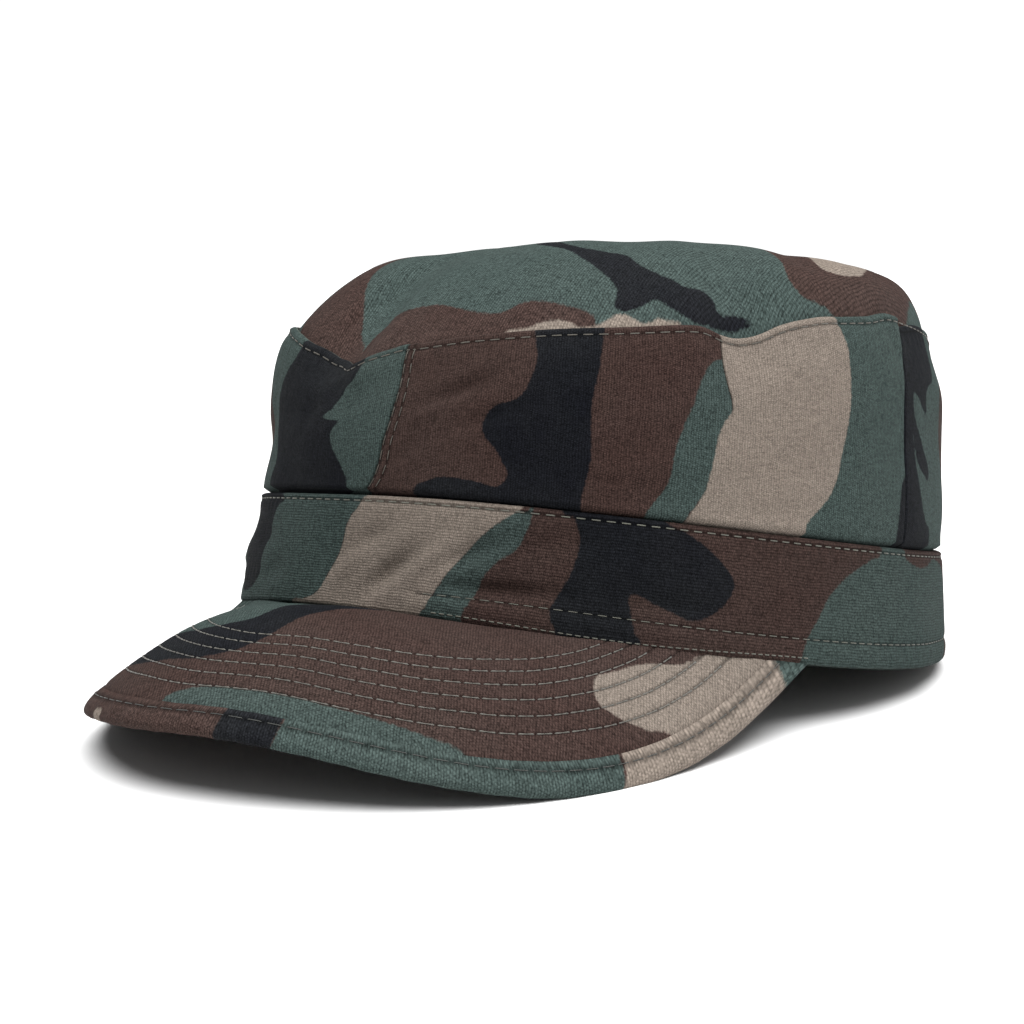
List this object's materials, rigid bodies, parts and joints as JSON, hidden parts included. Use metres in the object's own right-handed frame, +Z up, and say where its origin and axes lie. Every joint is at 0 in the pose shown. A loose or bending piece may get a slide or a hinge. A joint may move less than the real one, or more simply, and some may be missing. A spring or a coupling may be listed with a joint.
{
  "type": "patrol cap",
  "caption": "Soft round cloth cap with a wide stitched band, panelled walls, a domed top and a stiff curved peak with rows of stitching, in woodland camouflage.",
  "frame": {"origin": "centre of the footprint on the surface that the cap rests on", "axes": "+Z up, -Y towards the front of the peak, +X towards the wearer's left"},
  "size_m": [0.166, 0.2592, 0.1061],
  "materials": {
    "camouflage_cloth": "matte"
  },
  "bodies": {
    "root": {"band": "camouflage_cloth", "crown_front_left": "camouflage_cloth", "crown_front_right": "camouflage_cloth", "crown_side_left": "camouflage_cloth", "crown_side_right": "camouflage_cloth", "crown_back": "camouflage_cloth", "crown_top": "camouflage_cloth", "peak": "camouflage_cloth", "peak_binding": "camouflage_cloth"}
  },
  "joints": []
}
